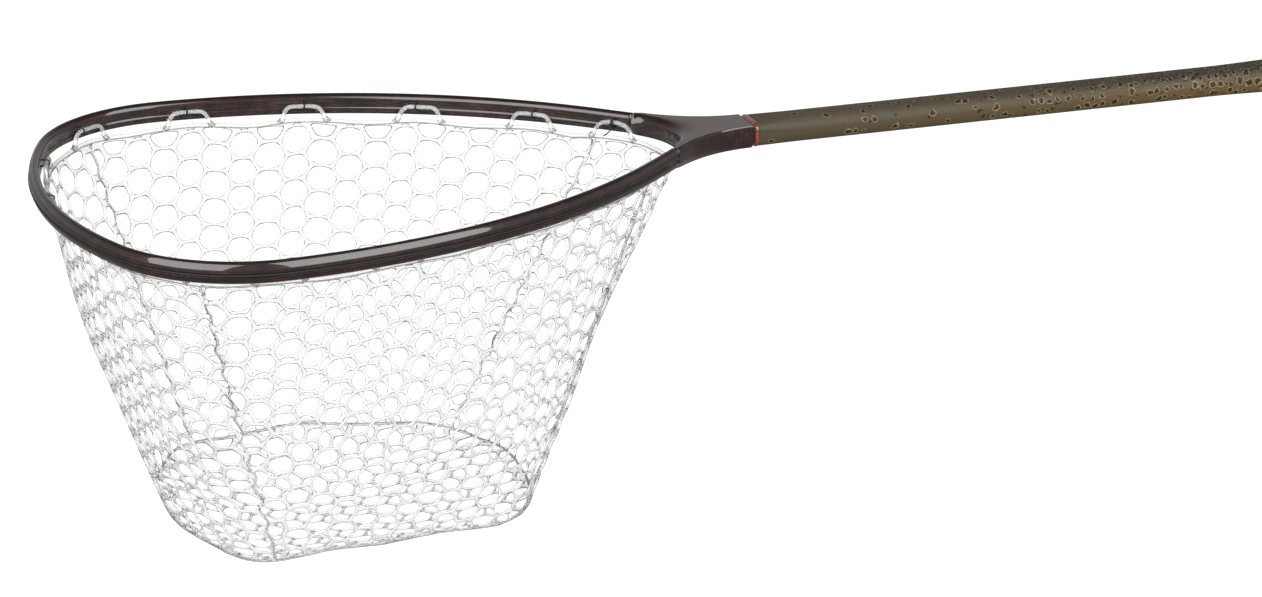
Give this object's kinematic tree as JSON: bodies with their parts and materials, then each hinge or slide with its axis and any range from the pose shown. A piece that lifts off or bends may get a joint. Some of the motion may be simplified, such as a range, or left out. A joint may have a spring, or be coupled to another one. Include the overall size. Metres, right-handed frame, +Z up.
{
  "type": "landing net",
  "caption": "Long-handled landing net: teardrop composite hoop, slim oval handle with a spotted print, and a deep clear rubber mesh bag laced inside the hoop.",
  "frame": {"origin": "middle of the hand grip, on the handle's axis", "axes": "+X along the handle towards its butt, +Z up out of the bag's mouth"},
  "size_m": [0.9389, 0.3328, 0.2375],
  "materials": {
    "hoop_composite": "clear-coated dark composite",
    "throat_composite": "matte sanded composite",
    "bare_composite": "bare wound composite",
    "accent_enamel": "red-orange resin band",
    "handle_print": "satin lacquer over an olive spotted print",
    "butt_composite": "matte moulded",
    "eyelet_steel": "stainless tube",
    "buoyant_foam": "closed-cell foam",
    "lacing_cord": "black braided cord",
    "clear_rubber": "clear moulded rubber"
  },
  "bodies": {
    "frame": {"accent_ring": "accent_enamel", "bag_rim": "clear_rubber", "bag_seam_throat_far": "clear_rubber", "bag_seam_throat_near": "clear_rubber", "bag_seam_tip_far": "clear_rubber", "bag_seam_tip_near": "clear_rubber", "bag_wall_far": "clear_rubber", "bag_wall_near": "clear_rubber", "bag_wall_throat": "clear_rubber", "bag_wall_tip": "clear_rubber", "butt_cap": "butt_composite", "handle_core": "buoyant_foam", "handle_tube": "handle_print", "hanger_loop_01": "clear_rubber", "hanger_loop_02": "clear_rubber", "hanger_loop_03": "clear_rubber", "hanger_loop_04": "clear_rubber", "hanger_loop_05": "clear_rubber", "hanger_loop_06": "clear_rubber", "hanger_loop_07": "clear_rubber", "hanger_loop_08": "clear_rubber", "hanger_loop_09": "clear_rubber", "hanger_loop_10": "clear_rubber", "hanger_loop_11": "clear_rubber", "hanger_loop_12": "clear_rubber", "hanger_loop_13": "clear_rubber", "hanger_loop_14": "clear_rubber", "hanger_loop_15": "clear_rubber", "hoop_core": "buoyant_foam", "hoop_shell": "hoop_composite", "lacing_cord": "lacing_cord", "lacing_stitch_01": "lacing_cord", "lacing_stitch_02": "lacing_cord", "lacing_stitch_03": "lacing_cord", "lacing_stitch_04": "lacing_cord", "lacing_stitch_05": "lacing_cord", "lacing_stitch_06": "lacing_cord", "lacing_stitch_07": "lacing_cord", "lacing_stitch_08": "lacing_cord", "lacing_stitch_09": "lacing_cord", "lacing_stitch_10": "lacing_cord", "lacing_stitch_11": "lacing_cord", "lacing_stitch_12": "lacing_cord", "lacing_stitch_13": "lacing_cord", "lacing_stitch_14": "lacing_cord", "lacing_stitch_15": "lacing_cord", "lacing_tail": "lacing_cord", "lanyard_eyelet": "eyelet_steel", "throat_spigot": "bare_composite", "throat_yoke": "throat_composite"},
    "bag_base": {"bag_floor": "clear_rubber", "bag_base_ring": "clear_rubber"}
  },
  "joints": [
    {"name": "bag_collapse", "type": "slide", "parent": "frame", "child": "bag_base", "axis": [0, 0, 1], "range_m": [0, 0.15], "deforming": ["bag_wall_tip", "bag_wall_near", "bag_wall_far", "bag_wall_throat", "bag_seam_throat_far", "bag_seam_throat_near", "bag_seam_tip_far", "bag_seam_tip_near"]}
  ]
}
